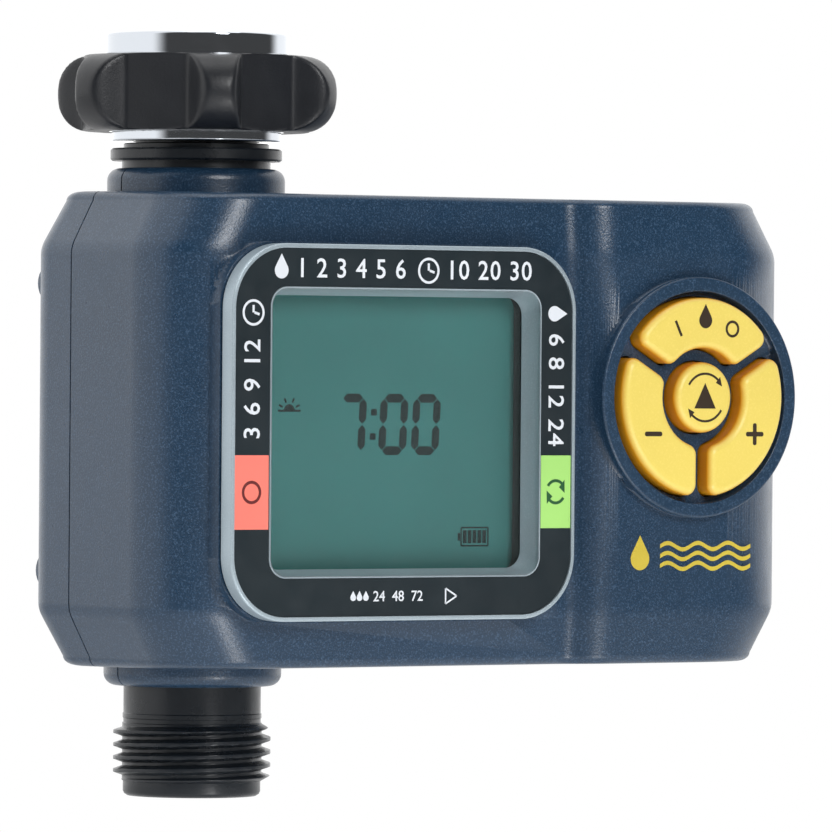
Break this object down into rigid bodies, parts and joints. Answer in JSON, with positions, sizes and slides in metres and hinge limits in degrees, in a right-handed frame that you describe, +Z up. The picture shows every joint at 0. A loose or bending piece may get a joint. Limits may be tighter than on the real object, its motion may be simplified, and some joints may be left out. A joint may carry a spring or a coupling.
{
  "type": "hose-end water timer",
  "caption": "Tap-mounted electronic water timer with swivel hose nut, threaded hose outlet, square display and a round push-button cluster for drip irrigation.",
  "frame": {"origin": "centre of the tap washer's sealing face, on the axis of the water pipe", "axes": "+Z up along the pipe towards the tap, the display and buttons face -Y, +X is to the right of a person reading the display"},
  "size_m": [0.1322, 0.0634, 0.13],
  "materials": {
    "case": "navy plastic with a fine even grain and a slight metallic flake",
    "display_frame": "silver-grey satin",
    "display_label": "black printed face, low gloss",
    "display_window": "clear polished sheet",
    "display_lcd": "green-grey liquid-crystal panel",
    "buttons": "yellow, satin, with dark brown printed signs",
    "water_body": "black engineering plastic, satin",
    "nut_grip": "black, soft sheen",
    "nut_sleeve": "polished chrome plate",
    "rubber": "black rubber, matt",
    "metal": "zinc-plated steel",
    "coil": "enamelled copper winding",
    "board": "green solder mask",
    "pale_plastic": "natural nylon",
    "battery": "printed cell wrap",
    "red_lead": "red insulated wire"
  },
  "bodies": {
    "housing": {"front_shell": "case", "rear_shell": "case", "display_frame": "display_frame", "display_label": "display_label", "display_window": "display_window", "lcd_panel": "display_lcd", "valve_body": "water_body", "valve_bonnet": "water_body", "inlet_washer": "rubber", "valve_diaphragm": "rubber", "keypad_mat": "rubber", "lcd_connector": "rubber", "battery_lead": "rubber", "inlet_filter": "metal", "solenoid_tube": "metal", "solenoid_frame": "metal", "plunger_spring": "metal", "contact_link": "metal", "contact_minus": "metal", "contact_plus": "metal", "battery_spring_1": "metal", "battery_spring_2": "metal", "case_screw_1": "metal", "case_screw_2": "metal", "case_screw_3": "metal", "case_screw_4": "metal", "case_screw_5": "metal", "case_screw_6": "metal", "bonnet_screw_1": "metal", "bonnet_screw_2": "metal", "bonnet_screw_3": "metal", "bonnet_screw_4": "metal", "board_screw_1": "metal", "board_screw_2": "metal", "solenoid_coil": "coil", "main_board": "board", "switch_set": "pale_plastic", "switch_manual": "pale_plastic", "switch_minus": "pale_plastic", "switch_plus": "pale_plastic", "battery_tray": "pale_plastic", "battery_1": "battery", "battery_2": "battery", "coil_lead": "red_lead"},
    "nut": {"nut_grip": "nut_grip", "nut_sleeve": "nut_sleeve"},
    "manual_key": {"button_manual": "buttons"},
    "minus_key": {"button_minus": "buttons"},
    "plus_key": {"button_plus": "buttons"},
    "set_key": {"button_set": "buttons"},
    "plunger": {"solenoid_plunger": "metal"},
    "door": {"battery_door": "case", "battery_seal": "rubber"}
  },
  "joints": [
    {"name": "nut_swivel", "type": "hinge", "parent": "housing", "child": "nut", "pos_m": [0, 0, 0], "axis": [0, 0, 1], "continuous": true},
    {"name": "manual_press", "type": "slide", "parent": "housing", "child": "manual_key", "axis": [0, 1, 0], "range_m": [0, 0.0012], "stiffness_N_per_m": 600, "springref_m": -0.001},
    {"name": "minus_press", "type": "slide", "parent": "housing", "child": "minus_key", "axis": [0, 1, 0], "range_m": [0, 0.0012], "stiffness_N_per_m": 600, "springref_m": -0.001},
    {"name": "plus_press", "type": "slide", "parent": "housing", "child": "plus_key", "axis": [0, 1, 0], "range_m": [0, 0.0012], "stiffness_N_per_m": 600, "springref_m": -0.001},
    {"name": "set_press", "type": "slide", "parent": "housing", "child": "set_key", "axis": [0, 1, 0], "range_m": [0, 0.0012], "stiffness_N_per_m": 600, "springref_m": -0.001},
    {"name": "plunger_stroke", "type": "slide", "parent": "housing", "child": "plunger", "axis": [1, 0, 0], "range_m": [0, 0.002], "stiffness_N_per_m": 200, "springref_m": -0.002},
    {"name": "door_pull", "type": "slide", "parent": "housing", "child": "door", "axis": [0, 1, 0], "range_m": [0, 0.014]}
  ]
}
